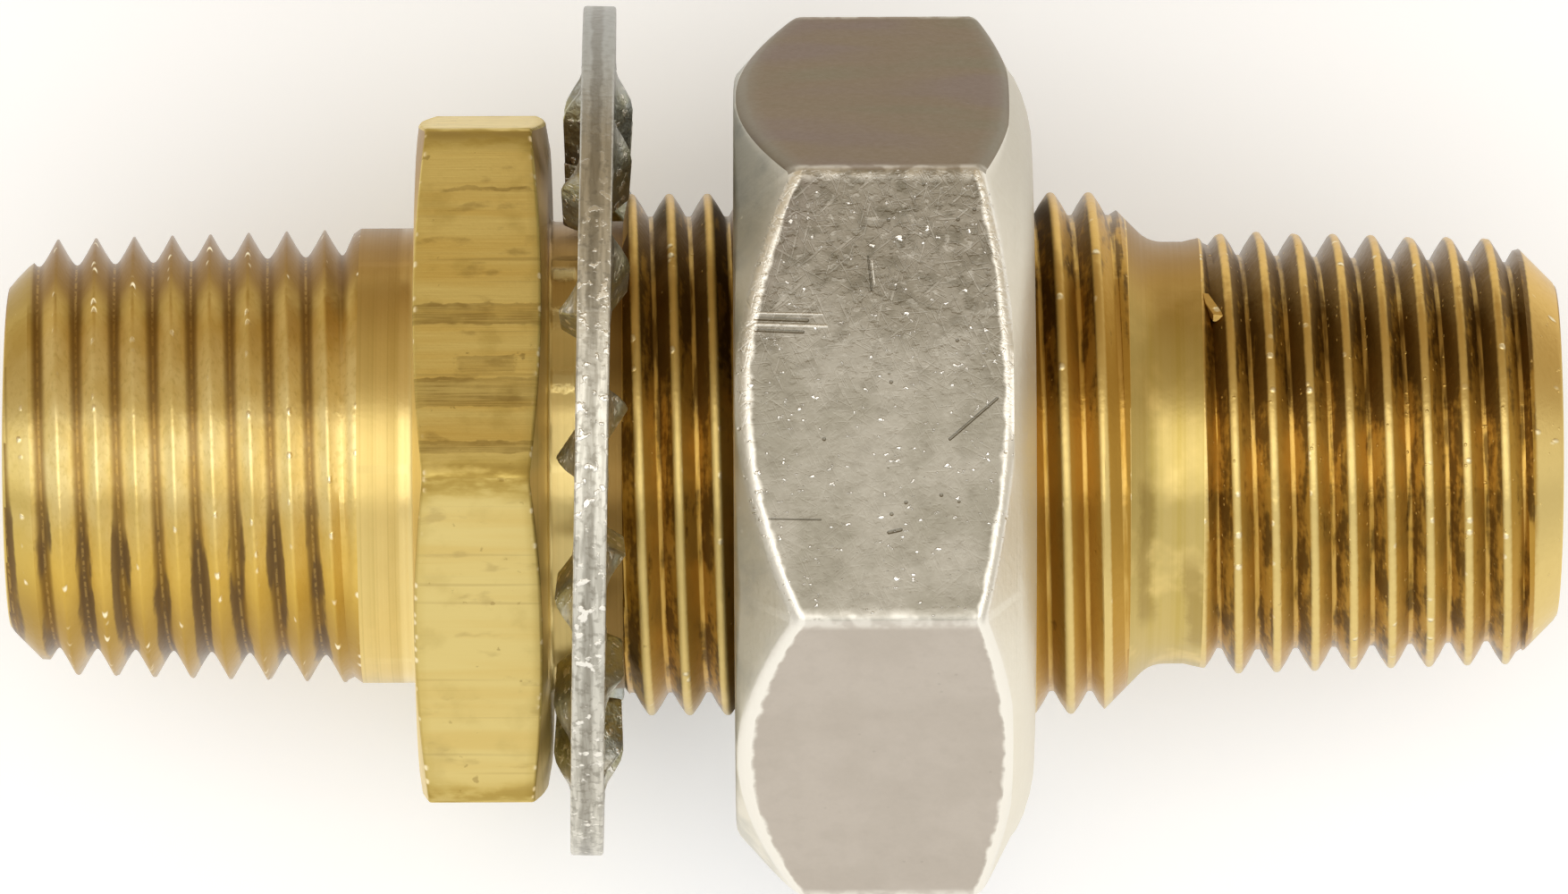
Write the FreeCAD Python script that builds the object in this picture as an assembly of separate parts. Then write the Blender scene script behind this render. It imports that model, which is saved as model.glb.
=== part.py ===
import FreeCAD, Part
import math
import os

# Tank connector: a turned brass bulkhead body, a twisted-tooth lock washer and a jam nut.
# The body's axis is +X, from the collar towards the nut. The origin is on that axis, on the
# collar's clamping face. +Z is up, with the part lying on one flat of its nut.
# The three threads are plain at their crest size. All lengths are in millimetres.

# Body: hex collar, cut from bar across flats
collar_flats = 31.75
collar_thickness = 6.2
collar_corner_radius = 0.4
collar_chamfer_angle = 12.0
collar_back_inset = 0.17
collar_front_inset = 0.97
collar_turn = 11.9

# Body: bore right through, and the pipe thread on each end
bore_radius = 7.0
pipe_taper = 1 / 32
pipe_end_chamfer = 2.2
back_pipe_length = 19.5
back_pipe_radius = 10.3
back_neck_length = 2.8
front_pipe_length = 17.75
front_pipe_radius = 10.07
front_pipe_lead = 2.2

# Body: bulkhead thread between the neck that carries the washer and the relief
neck_radius = 11.12
neck_length = 3.5
bulkhead_lead = 0.25
bulkhead_radius = 12.43
bulkhead_end = 26.1
relief_radius = 10.05
relief_length = 1.6

# Lock washer: flat rim with teeth inside, each twisted about its own radial line
washer_radius = 20.18
washer_rim_width = 2.98
washer_thickness = 1.55
tooth_count = 14
tooth_length = 3.95
tooth_root_width = 4.2
tooth_tip_width = 3.4
tooth_twist = 33.0
tooth_twist_length = 1.9
tooth_twist_steps = 3
tooth_turn = 9.1
washer_station = 2.06
washer_lean = 1.0
washer_tilt = 0.7
washer_hang_gap = 0.14
washer_hang_angle = 26.6

# Jam nut, with a chamfered back face and a front face that falls away to a shoulder
nut_flats = 36.8
nut_thickness = 14.1
nut_station = 8.77
nut_corner_radius = 0.6
nut_back_inset = 0.45
nut_back_chamfer_angle = 42.0
nut_land_inset = 2.9
nut_shoulder_inset = 0.1
nut_shoulder_drop = 1.07
nut_front_chamfer_angle = 26.6
nut_countersink = 0.8
thread_clearance = 0.08

X_AXIS = FreeCAD.Vector(1, 0, 0)
Y_AXIS = FreeCAD.Vector(0, 1, 0)
Z_AXIS = FreeCAD.Vector(0, 0, 1)
ORIGIN = FreeCAD.Vector(0, 0, 0)


def point(x, r):
    """A point of a turned profile: x along the axis, r out from it."""
    return FreeCAD.Vector(x, 0, r)


def turned(outline):
    """Revolve a closed outline about the axis."""
    return Part.Face(Part.makePolygon(outline + outline[:1])).revolve(ORIGIN, X_AXIS, 360)


def rod(radius, x_from, x_to):
    return Part.makeCylinder(radius, x_to - x_from, FreeCAD.Vector(x_from, 0, 0), X_AXIS)


def hex_bar(flats, x_from, x_to, corner_radius):
    """Hexagonal bar along the axis with a corner at the top and its six edges rounded."""
    corner = flats / math.sqrt(3)
    angles = [math.radians(60 * i) for i in range(7)]
    ring = [FreeCAD.Vector(x_from, -corner * math.sin(a), corner * math.cos(a)) for a in angles]
    bar = Part.Face(Part.makePolygon(ring)).extrude(X_AXIS * (x_to - x_from))
    long_edges = [e for e in bar.Edges if abs(e.tangentAt(e.FirstParameter).x) > 0.5]
    return bar.makeFillet(corner_radius, long_edges)


def collar():
    """Hex collar with a shallow chamfer round both faces, before its bore is cut."""
    slope = math.tan(math.radians(collar_chamfer_angle))
    outside = collar_flats / math.sqrt(3) + 1
    back_face = collar_flats / 2 - collar_back_inset
    front_face = collar_flats / 2 - collar_front_inset
    chamfers = turned([
        point(-collar_thickness, 0),
        point(-collar_thickness, back_face),
        point(-collar_thickness + slope * (outside - back_face), outside),
        point(-slope * (outside - front_face), outside),
        point(0, front_face),
        point(0, 0),
    ])
    bar = hex_bar(collar_flats, -collar_thickness, 0, collar_corner_radius)
    bar.rotate(ORIGIN, X_AXIS, collar_turn)
    return bar.common(chamfers)


def fitting_body():
    """Pipe thread, neck, collar, washer neck, bulkhead thread, relief and pipe thread, turned as one."""
    collar_back = -collar_thickness
    back_end = collar_back - back_pipe_length
    back_neck_start = collar_back - back_neck_length
    back_neck_radius = back_pipe_radius + pipe_taper * (back_neck_start - back_end)
    back_chamfer_radius = back_pipe_radius + pipe_taper * pipe_end_chamfer

    lead_in_end = neck_length + bulkhead_lead
    relief_start = bulkhead_end + bulkhead_radius - relief_radius
    relief_end = relief_start + relief_length
    front_end = relief_end + front_pipe_length
    front_chamfer_radius = front_pipe_radius + pipe_taper * pipe_end_chamfer
    front_base_radius = front_pipe_radius + pipe_taper * (front_pipe_length - front_pipe_lead)

    shaft = turned([
        point(back_end, bore_radius),
        point(back_end, back_chamfer_radius - pipe_end_chamfer),
        point(back_end + pipe_end_chamfer, back_chamfer_radius),
        point(back_neck_start, back_neck_radius),
        point(0, back_neck_radius),
        point(0, neck_radius),
        point(neck_length, neck_radius),
        point(lead_in_end, bulkhead_radius),
        point(bulkhead_end, bulkhead_radius),
        point(relief_start, relief_radius),
        point(relief_end, relief_radius),
        point(relief_end + front_pipe_lead, front_base_radius),
        point(front_end - pipe_end_chamfer, front_chamfer_radius),
        point(front_end, front_chamfer_radius - pipe_end_chamfer),
        point(front_end, bore_radius),
    ])
    bore = rod(bore_radius, back_end, front_end)
    return shaft.fuse(collar().cut(bore)).removeSplitter()


def tooth_section(radius, width, twist):
    """Corners of a tooth's cross-section at one radius, square to its radial line and turned about it."""
    turn = math.radians(twist)
    corners = []
    for side, face in ((-1, -1), (1, -1), (1, 1), (-1, 1)):
        across = side * width / 2
        through = face * washer_thickness / 2
        corners.append(FreeCAD.Vector(
            through * math.cos(turn) + across * math.sin(turn),
            across * math.cos(turn) - through * math.sin(turn),
            radius,
        ))
    return corners


def washer_tooth():
    """One tooth, rooted inside the rim: flat at its root, twisted over its first part, then straight."""
    rim_inside = washer_radius - washer_rim_width
    root = math.sqrt(rim_inside ** 2 - (tooth_root_width / 2) ** 2)
    tip = rim_inside - tooth_length
    past_tip = tip - washer_thickness / 2
    taper = (tooth_root_width - tooth_tip_width) / tooth_length
    sections = [tooth_section(root + washer_rim_width / 4, tooth_root_width, 0)]
    for i in range(tooth_twist_steps + 1):
        share = i / tooth_twist_steps
        inward = share * tooth_twist_length
        sections.append(tooth_section(root - inward, tooth_root_width - taper * inward, share * tooth_twist))
    sections.append(tooth_section(past_tip, tooth_tip_width - taper * (tip - past_tip), tooth_twist))

    outlines = [sections[0], sections[-1]]
    for outer, inner in zip(sections, sections[1:]):
        for i in range(4):
            j = (i + 1) % 4
            outlines.append([outer[i], outer[j], inner[j]])
            outlines.append([outer[i], inner[j], inner[i]])
    faces = [Part.Face(Part.makePolygon(outline + outline[:1])) for outline in outlines]
    return Part.Solid(Part.Shell(faces))


def lock_washer():
    """Rim and teeth of one stamped ring, hanging on the body's neck and leaning a little."""
    rim_inside = washer_radius - washer_rim_width
    tip_radius = rim_inside - tooth_length
    half = washer_thickness / 2
    ring = turned([
        point(-half, rim_inside),
        point(-half, washer_radius),
        point(half, washer_radius),
        point(half, rim_inside),
    ])
    teeth = []
    for i in range(tooth_count):
        tooth = washer_tooth()
        tooth.rotate(ORIGIN, X_AXIS, tooth_turn + 360 * i / tooth_count)
        teeth.append(tooth)
    reach = tooth_root_width
    washer = ring.multiFuse(teeth).cut(rod(tip_radius, -reach, reach)).removeSplitter()

    hang = tip_radius - neck_radius - washer_hang_gap
    hang_direction = math.radians(washer_hang_angle)
    washer.rotate(ORIGIN, Z_AXIS, -washer_lean)
    washer.rotate(ORIGIN, Y_AXIS, washer_tilt)
    washer.translate(X_AXIS * washer_station)
    washer.translate(Y_AXIS * (hang * math.sin(hang_direction)))
    washer.translate(Z_AXIS * (hang * math.cos(hang_direction)))
    return washer


def jam_nut():
    """Hex nut lying on a flat, chamfered at both ends, in two steps at the front, and countersunk."""
    back = nut_station
    front = nut_station + nut_thickness
    apothem = nut_flats / 2
    outside = nut_flats / math.sqrt(3) + 1
    back_face = apothem - nut_back_inset
    back_slope = math.tan(math.radians(nut_back_chamfer_angle))
    land = apothem - nut_land_inset
    shoulder = apothem - nut_shoulder_inset
    front_slope = math.tan(math.radians(nut_front_chamfer_angle))
    hole = bulkhead_radius + thread_clearance
    turned_blank = turned([
        point(back, hole + nut_countersink),
        point(back, back_face),
        point(back + back_slope * (outside - back_face), outside),
        point(front - nut_shoulder_drop - front_slope * (outside - shoulder), outside),
        point(front - nut_shoulder_drop, shoulder),
        point(front, land),
        point(front, hole + nut_countersink),
        point(front - nut_countersink, hole),
        point(back + nut_countersink, hole),
    ])
    bar = hex_bar(nut_flats, back, front, nut_corner_radius)
    bar.rotate(ORIGIN, X_AXIS, 30)
    return bar.common(turned_blank).removeSplitter()


os.makedirs("parts", exist_ok=True)
for name, shape in (
    ("fitting_body", fitting_body()),
    ("lock_washer", lock_washer()),
    ("jam_nut", jam_nut()),
):
    shape.Solids[0].exportStep("parts/" + name + ".step")
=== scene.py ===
import math

import bmesh
import bpy
from mathutils import Matrix, Vector, noise


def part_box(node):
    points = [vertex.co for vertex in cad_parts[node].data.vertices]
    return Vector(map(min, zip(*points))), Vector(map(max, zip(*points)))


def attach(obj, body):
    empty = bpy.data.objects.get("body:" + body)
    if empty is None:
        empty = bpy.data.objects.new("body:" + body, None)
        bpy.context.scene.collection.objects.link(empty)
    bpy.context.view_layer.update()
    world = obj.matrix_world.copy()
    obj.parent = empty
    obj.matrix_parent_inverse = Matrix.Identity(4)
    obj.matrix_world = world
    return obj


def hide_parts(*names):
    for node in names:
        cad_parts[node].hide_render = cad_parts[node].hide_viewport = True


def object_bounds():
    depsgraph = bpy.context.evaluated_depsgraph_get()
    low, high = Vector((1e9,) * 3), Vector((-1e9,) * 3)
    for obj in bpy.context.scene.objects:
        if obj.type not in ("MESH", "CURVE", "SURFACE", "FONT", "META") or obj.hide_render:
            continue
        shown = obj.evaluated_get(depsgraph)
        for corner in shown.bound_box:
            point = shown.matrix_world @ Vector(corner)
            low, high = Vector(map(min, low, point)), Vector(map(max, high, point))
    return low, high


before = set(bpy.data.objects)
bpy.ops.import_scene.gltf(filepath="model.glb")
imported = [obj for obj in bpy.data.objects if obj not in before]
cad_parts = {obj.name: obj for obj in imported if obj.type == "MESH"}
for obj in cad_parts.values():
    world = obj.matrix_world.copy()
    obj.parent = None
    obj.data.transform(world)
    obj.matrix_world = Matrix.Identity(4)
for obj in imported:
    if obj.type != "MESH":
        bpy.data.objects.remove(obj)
cad_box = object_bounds()

# Lengths are in millimetres along and from the axis, angles about +X from +Z towards -Y.
MM = 0.001
SECTOR = math.radians(60.0)

# Every thread has this pitch and is right-handed.
# A crest's station is where it crosses CREST_ANGLE, on the outline that is uppermost in the picture.
PITCH = 25.4 / 14
CREST_ANGLE = math.radians(-81.4)
BACK_CREST = -23.43
BULKHEAD_CREST = 5.68
FRONT_CREST = 33.64

# A thread's points this close to its ends join the ring there.
THREAD_MARGIN = 0.02

# Depth of the nicks in the crests.
BACK_NICKS = 0.16
BULKHEAD_NICKS = 0.12
FRONT_NICKS = 0.18

# Body, from the back end to the front end. An edge is the width that it is rounded over.
BODY_LOW, BODY_HIGH = (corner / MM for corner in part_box("fitting_body"))
BACK_END = BODY_LOW.x
FRONT_END = BODY_HIGH.x
BORE_RADIUS = 7.0
BORE_CHAMFER = 0.45
PIPE_TAPER = 1 / 32
END_CHAMFER = 2.2
END_EDGE = 0.06
BACK_RADIUS = 10.3
BACK_THREAD_DEPTH = 1.28
BACK_THREAD_END = -8.95
BACK_RUN_OUT = 1.0
BACK_FILLET = 0.35
COLLAR_BACK = -6.2
COLLAR_APOTHEM = 31.75 / 2
COLLAR_CORNER = 0.9
COLLAR_TURN = math.radians(11.9)
COLLAR_BACK_FACE = COLLAR_APOTHEM - 0.17
COLLAR_FRONT_FACE = COLLAR_APOTHEM - 0.97
COLLAR_CHAMFER = math.tan(math.radians(12.0))
COLLAR_FACE_MARGIN = 0.2
NECK_RADIUS = 11.12
NECK_FILLET = 0.25
NECK_END = 3.5
BULKHEAD_RADIUS = 12.43
BULKHEAD_DEPTH = 1.09
BULKHEAD_LEAD = 0.25
BULKHEAD_END = 26.1
RELIEF_RADIUS = 10.05
RELIEF_START = BULKHEAD_END + BULKHEAD_RADIUS - RELIEF_RADIUS
BULKHEAD_STOP = RELIEF_START - 1.1
RELIEF_END = 30.08
RELIEF_FILLET = 1.6
SHOULDER_SLOPE = math.radians(45.0)
FRONT_RADIUS = 10.07
FRONT_THREAD_DEPTH = 1.12
FRONT_LEAD_SLOPE = 0.23
FRONT_FADE = 0.7
FRONT_PLAIN_START = 0.75
FRONT_PLAIN_END = 1.2
BODY_SHARP = math.radians(44.0)

# A sliver of brass left in the first turn of the front thread, as (station, across) corners.
CHIP_RADIUS = 9.95
CHIP_HALF_THICKNESS = 0.25
CHIP_ANGLE = math.radians(-34.6)
CHIP_OUTLINE = ((30.9, -0.75), (31.15, -0.7), (31.7, 0.4), (31.8, 0.7), (31.35, 0.62), (31.0, -0.1))

# Nut, placed by its packed box.
NUT_LOW, NUT_HIGH = (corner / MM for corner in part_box("jam_nut"))
NUT_BACK = NUT_LOW.x
NUT_FRONT = NUT_HIGH.x
NUT_APOTHEM = NUT_HIGH.z
NUT_CORNER = 0.6
NUT_TURN = SECTOR / 2
NUT_BACK_FACE = NUT_APOTHEM - 0.45
NUT_BACK_SLOPE = math.tan(math.radians(42.0))
NUT_LAND = NUT_APOTHEM - 2.9
NUT_SHOULDER = NUT_APOTHEM - 0.1
NUT_SHOULDER_STATION = NUT_FRONT - 1.07
NUT_FRONT_SLOPE = math.tan(math.radians(26.6))
NUT_COUNTERSINK = 13.4
NUT_CLEARANCE = 0.08
NUT_MINOR = 11.62
NUT_CONE_SHARE = 0.12
NUT_EDGE_ROOM = 0.7
NUT_SHARP = math.radians(40.0)

# Rings over an edge between a cone and a hexagon's sides: (in from the side, on from the cone, weight).
# The weight marks the rounded edges: on the collar it places painted shade and painted glints, on the nut
# worn zinc painted bright as a highlight.
COLLAR_EDGE = ((0.14, 0.0, 0.5), (0.035, 0.0494, 1.0), (0.0, 0.14, 0.5), (0.0, 0.56, 0.0))
NUT_EDGE = ((0.34, 0.0, 0.6), (0.17, 0.06, 1.0), (0.05, 0.16, 1.0), (0.0, 0.34, 0.5), (0.0, 0.9, 0.0))

# Rings where the nut's back face turns into its cone: (on from the face, in from its rim).
NUT_BACK_TURN = ((0.0, 0.5), (0.05, 0.08))

# Rings of the nut's crowned front, as shares of its drop and of its width.
NUT_CROWN = ((0.98, 0.99), (0.72, 0.86), (0.40, 0.60), (0.14, 0.28), (0.0, 0.0))

# Lock washer, hung off the axis on the body's neck.
WASHER_RADIUS = 20.18
WASHER_INNER = 17.2
WASHER_THICKNESS = 1.55
WASHER_STATION = 2.06
WASHER_LEAN = math.radians(-1.0)
WASHER_TILT = math.radians(0.7)
WASHER_HANG = 1.99
WASHER_HANG_ANGLE = math.radians(-26.6)
TOOTH_COUNT = 14
TOOTH_TURN = math.radians(9.1)
TOOTH_TIP = 13.25
TOOTH_ROOT_WIDTH = 4.2
TOOTH_TIP_WIDTH = 3.4
TOOTH_TWIST = math.radians(33.0)
TOOTH_TWIST_LENGTH = 1.9
WASHER_EDGE = 0.13
WASHER_CRISP = math.radians(60.0)
WASHER_SHARP = math.radians(50.0)


def smooth_step(value):
    """Eased rise from 0 to 1."""
    value = min(max(value, 0.0), 1.0)
    return value * value * (3 - 2 * value)


def polar(station, radius, angle):
    """Place at a station, a distance from the axis and an angle about it."""
    return Vector((station, -radius * math.sin(angle), radius * math.cos(angle)))


def hex_radius(angle, apothem, corner_radius, corner_turn):
    """Distance from the axis to the side of a hexagon with rounded corners."""
    off = (angle - corner_turn) % SECTOR
    off = min(off, SECTOR - off)
    centre = (apothem - corner_radius) / math.cos(SECTOR / 2)
    sideways = corner_radius * math.sin(SECTOR / 2)
    meeting = math.atan2(sideways, centre + corner_radius * math.cos(SECTOR / 2))
    if off < meeting:
        return centre * math.cos(off) + math.sqrt(corner_radius ** 2 - (centre * math.sin(off)) ** 2)
    return apothem / math.cos(SECTOR / 2 - off)


def hex_columns(corner_turn, corner_radius, corner_distance, plain_count):
    """Angles round a hexagon, close together at its corners."""
    tight = corner_radius / 2 / corner_distance
    near = [tight * step for step in (0.0, 0.5, 1.0, 2.0, 4.0)]
    first, last = near[-1], SECTOR - near[-1]
    plain = [first + (last - first) * step / plain_count for step in range(1, plain_count)]
    offsets = near + plain + [SECTOR - step for step in reversed(near[1:])]
    return [corner_turn + side * SECTOR + offset for side in range(6) for offset in offsets]


class Shell:
    """A closed skin of rings about the axis, with one vertex to a column in each ring.

    The columns suit a hexagon, and sides has its distance from the axis at each of them.
    """

    def __init__(self, turn, apothem, corner_radius, plain_count):
        self.angles = hex_columns(turn, corner_radius, apothem / math.cos(SECTOR / 2), plain_count)
        self.sides = [hex_radius(angle, apothem, corner_radius, turn) for angle in self.angles]
        self.mesh = bmesh.new()
        self.depth = self.mesh.verts.layers.float.new("depth")
        self.wear = self.mesh.verts.layers.float.new("wear")

    def vertex(self, station, radius, angle, depth=0.0, wear=0.0):
        made = self.mesh.verts.new(polar(station, radius, angle) * MM)
        made[self.depth] = depth
        made[self.wear] = wear
        return made

    def ring(self, station, radius, wear=0.0):
        """A ring at a station and a radius, each a number or one number to a column."""
        count = len(self.angles)
        stations = station if isinstance(station, list) else [station] * count
        radii = radius if isinstance(radius, list) else [radius] * count
        return [self.vertex(*row, wear=wear) for row in zip(stations, radii, self.angles)]

    def edge(self, start, face, slope, onward, steps, room=1.0):
        """Rings over the edge between a cone and the hexagon's sides, one to a step.

        The cone leaves a face of the radius face at the station start, onward is 1 for the back
        edge and -1 for the front one, and room is the share of the cone that the rings may take.
        """
        rings = []
        for inward, along, wear in steps:
            radii = [side - min(inward, room * (side - face)) for side in self.sides]
            stations = [start + onward * (along + (radius - face) * slope) for radius in radii]
            rings.append(self.ring(stations, radii, wear=wear))
        return rings

    def face(self, corners, finish):
        """A face of the corners that differ, where at least three do."""
        unlike = [v for i, v in enumerate(corners) if v is not corners[i - 1]]
        if len(set(unlike)) > 2:
            made = self.mesh.faces.new(unlike)
            made.material_index = finish
            made.smooth = True

    def bridge(self, rings, finish):
        """Skin over neighbouring rings in turn."""
        count = len(self.angles)
        for low, high in zip(rings, rings[1:]):
            for i in range(count):
                j = (i + 1) % count
                self.face([low[i], high[i], high[j], low[j]], finish)

    def thread(self, start, end, first, last, crest, profile, shape, finish):
        """Skin of a helical thread between two rings.

        first and last are the rings' stations, crest is a crest's station at CREST_ANGLE,
        profile lists (share of the pitch, share of the depth), and shape gives the radius
        and the share that is cut, for a station, an angle and a share of the whole depth.
        """
        count = len(self.angles)
        size = len(profile)
        low_turn = math.floor((first - crest) / PITCH) - 2
        high_turn = math.ceil((last - crest) / PITCH) + 2
        lines = (high_turn - low_turn) * size
        columns = []
        for column, angle in enumerate(self.angles):
            run = PITCH * (angle - CREST_ANGLE) / math.tau
            made = []
            for line in range(lines):
                share, depth = profile[line % size]
                station = crest + (low_turn + line // size + share) * PITCH + run
                if station <= first + THREAD_MARGIN:
                    made.append(start[column])
                elif station >= last - THREAD_MARGIN:
                    made.append(end[column])
                else:
                    radius, cut = shape(station, angle, depth)
                    made.append(self.vertex(station, radius, angle, cut))
            columns.append(made)
        for i in range(count):
            ahead = 0 if i + 1 < count else size
            following = columns[(i + 1) % count]
            for line in range(lines - 1 - ahead):
                one, two = columns[i][line], columns[i][line + 1]
                three, four = following[line + 1 + ahead], following[line + ahead]
                self.face([one, two, three, four], finish)

    def finish(self, name, materials, sharp):
        """The skin as an object, with edges over the sharp angle left crisp."""
        bmesh.ops.recalc_face_normals(self.mesh, faces=self.mesh.faces)
        return make_object(name, self.mesh, materials, sharp)


def add_object(name, data):
    made = bpy.data.objects.new(name, data)
    bpy.context.scene.collection.objects.link(made)
    return made


def make_object(name, mesh, materials, sharp):
    """An object of a finished bmesh."""
    data = bpy.data.meshes.new(name)
    mesh.to_mesh(data)
    mesh.free()
    data.set_sharp_from_angle(angle=sharp)
    for material in materials:
        data.materials.append(material)
    made = add_object(name, data)
    weighted = made.modifiers.new("flat_sides", "WEIGHTED_NORMAL")
    weighted.keep_sharp = True
    return made


def dent(station, angle, radius, size):
    """Depth of the nicks that a thread's crest has picked up."""
    place = polar(station, radius, angle)
    broad = max(0.0, noise.noise(place * 0.55) - 0.25)
    fine = max(0.0, noise.noise(place * 1.7 + Vector((31.0, 7.0, 3.0))) - 0.3)
    return size * (broad + 0.8 * fine)


def thread_profile(*half):
    """Shape over one pitch, from a crest to the next, given as far as the root between them."""
    return [*half, *((1 - share, depth) for share, depth in reversed(half[1:-1]))]


# Crest to root, as (share of the pitch, share of the depth).
SHARP_THREAD = thread_profile(
    (0.0, 0.0), (0.03, 0.02), (0.06, 0.10), (0.24, 0.55), (0.37, 0.85), (0.44, 0.97), (0.5, 1.0),
)
BLUNT_THREAD = thread_profile(
    (0.0, 0.0), (0.045, 0.012), (0.085, 0.055), (0.12, 0.13), (0.27, 0.5), (0.42, 0.95), (0.455, 1.0),
    (0.5, 1.0),
)

# Places in the body's list of materials.
BACK_THREAD, NECK, BAR, BULKHEAD_THREAD, RELIEF, FRONT_THREAD = range(6)


def back_shape(station, angle, depth):
    """Radius and cut of the back pipe thread."""
    crest = BACK_RADIUS + (station - BACK_END) * PIPE_TAPER
    chamfer = BACK_RADIUS + END_CHAMFER * (PIPE_TAPER - 1) + (station - BACK_END)
    cut = depth * smooth_step((BACK_THREAD_END - station) / BACK_RUN_OUT)
    nick = dent(station, angle, crest, BACK_NICKS) * (1 - depth)
    return min(crest - BACK_THREAD_DEPTH * cut - nick, chamfer), cut


def bulkhead_shape(station, angle, depth):
    """Radius and cut of the bulkhead thread."""
    lead = NECK_RADIUS + (station - NECK_END) * (BULKHEAD_RADIUS - NECK_RADIUS) / BULKHEAD_LEAD
    chamfer = BULKHEAD_RADIUS - (station - BULKHEAD_END)
    nick = dent(station, angle, BULKHEAD_RADIUS, BULKHEAD_NICKS) * (1 - depth)
    return min(BULKHEAD_RADIUS - BULKHEAD_DEPTH * depth - nick, lead, chamfer), depth


def front_shape(station, angle, depth):
    """Radius and cut of the front pipe thread."""
    crest = FRONT_RADIUS + (FRONT_END - station) * PIPE_TAPER
    lead = RELIEF_RADIUS + (station - RELIEF_END) * FRONT_LEAD_SLOPE
    chamfer = FRONT_RADIUS + END_CHAMFER * (PIPE_TAPER - 1) + (FRONT_END - station)
    cut = depth * smooth_step((station - RELIEF_END - FRONT_PLAIN_START) / FRONT_FADE)
    cut *= smooth_step((FRONT_END - FRONT_PLAIN_END - station) / FRONT_FADE)
    nick = dent(station, angle, crest, FRONT_NICKS) * (1 - depth)
    return min(min(crest, lead) - FRONT_THREAD_DEPTH * cut - nick, chamfer), cut


def build_body(materials):
    """The body: pipe thread, neck, hex collar, neck, bulkhead thread, relief, pipe thread."""
    shell = Shell(COLLAR_TURN, COLLAR_APOTHEM, COLLAR_CORNER, plain_count=24)
    back_tip = BACK_RADIUS + END_CHAMFER * (PIPE_TAPER - 1)
    front_tip = FRONT_RADIUS + END_CHAMFER * (PIPE_TAPER - 1)
    back_neck = BACK_RADIUS + (BACK_THREAD_END - BACK_END) * PIPE_TAPER

    back_bore = shell.ring(BACK_END + BORE_CHAMFER, BORE_RADIUS)
    back_mouth = shell.ring(BACK_END, BORE_RADIUS + BORE_CHAMFER)
    back_edge = shell.ring(BACK_END, back_tip - END_EDGE)
    back_start = shell.ring(BACK_END + END_EDGE, back_tip)
    back_stop = shell.ring(BACK_THREAD_END, back_neck)
    shell.bridge([back_bore, back_mouth, back_edge, back_start], NECK)
    shell.thread(
        back_start, back_stop, BACK_END + END_EDGE, BACK_THREAD_END, BACK_CREST,
        SHARP_THREAD, back_shape, BACK_THREAD,
    )

    foot = [
        shell.ring(COLLAR_BACK - along * BACK_FILLET, back_neck + out * BACK_FILLET)
        for along, out in ((1.0, 0.0), (0.3, 0.12), (0.1, 0.35), (0.0, 1.0))
    ]
    shell.bridge([back_stop] + foot, NECK)

    back_face = shell.ring(COLLAR_BACK, COLLAR_BACK_FACE - COLLAR_FACE_MARGIN)
    collar = shell.edge(COLLAR_BACK, COLLAR_BACK_FACE, COLLAR_CHAMFER, 1, COLLAR_EDGE)
    collar += shell.edge(0.0, COLLAR_FRONT_FACE, COLLAR_CHAMFER, -1, reversed(COLLAR_EDGE))
    front_face = shell.ring(0.0, COLLAR_FRONT_FACE - COLLAR_FACE_MARGIN)
    shell.bridge([foot[-1], back_face, collar[0]], NECK)
    shell.bridge(collar, BAR)
    shell.bridge([collar[-1], front_face], NECK)

    neck = [
        shell.ring(0.0, NECK_RADIUS + NECK_FILLET),
        shell.ring(0.32 * NECK_FILLET, NECK_RADIUS + 0.32 * NECK_FILLET),
        shell.ring(NECK_FILLET, NECK_RADIUS),
        shell.ring(NECK_END, NECK_RADIUS),
    ]
    shell.bridge([front_face] + neck, NECK)

    shoulder = shell.ring(BULKHEAD_STOP, BULKHEAD_RADIUS - (BULKHEAD_STOP - BULKHEAD_END))
    shell.thread(
        neck[-1], shoulder, NECK_END, BULKHEAD_STOP, BULKHEAD_CREST,
        BLUNT_THREAD, bulkhead_shape, BULKHEAD_THREAD,
    )
    fillet_end = RELIEF_START + RELIEF_FILLET * math.tan(SHOULDER_SLOPE / 2)
    slopes = [SHOULDER_SLOPE * (1 - step / 5) for step in range(6)]
    relief = [
        shell.ring(
            fillet_end - RELIEF_FILLET * math.sin(slope),
            RELIEF_RADIUS + RELIEF_FILLET * (1 - math.cos(slope)),
        )
        for slope in slopes
    ]
    relief.append(shell.ring(RELIEF_END, RELIEF_RADIUS))
    front_first = RELIEF_END + FRONT_PLAIN_START
    relief.append(shell.ring(front_first, RELIEF_RADIUS + FRONT_PLAIN_START * FRONT_LEAD_SLOPE))
    shell.bridge([shoulder] + relief, RELIEF)

    front_start = shell.ring(FRONT_END - END_EDGE, front_tip)
    shell.thread(
        relief[-1], front_start, front_first, FRONT_END - END_EDGE, FRONT_CREST,
        BLUNT_THREAD, front_shape, FRONT_THREAD,
    )
    under, over = (
        [shell.vertex(x, CHIP_RADIUS + lift, CHIP_ANGLE + across / CHIP_RADIUS) for x, across in CHIP_OUTLINE]
        for lift in (-CHIP_HALF_THICKNESS, CHIP_HALF_THICKNESS)
    )
    for i in range(len(under)):
        shell.face([under[i - 1], under[i], over[i], over[i - 1]], FRONT_THREAD)
    shell.face(under, FRONT_THREAD)
    shell.face(over, FRONT_THREAD)

    front_edge = shell.ring(FRONT_END, front_tip - END_EDGE)
    front_mouth = shell.ring(FRONT_END, BORE_RADIUS + BORE_CHAMFER)
    front_bore = shell.ring(FRONT_END - BORE_CHAMFER, BORE_RADIUS)
    middle_bore = shell.ring((BACK_END + FRONT_END) / 2, BORE_RADIUS)
    shell.bridge([front_start, front_edge, front_mouth, front_bore, middle_bore, back_bore], NECK)
    return shell.finish("body_shell", materials, BODY_SHARP)


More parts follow.
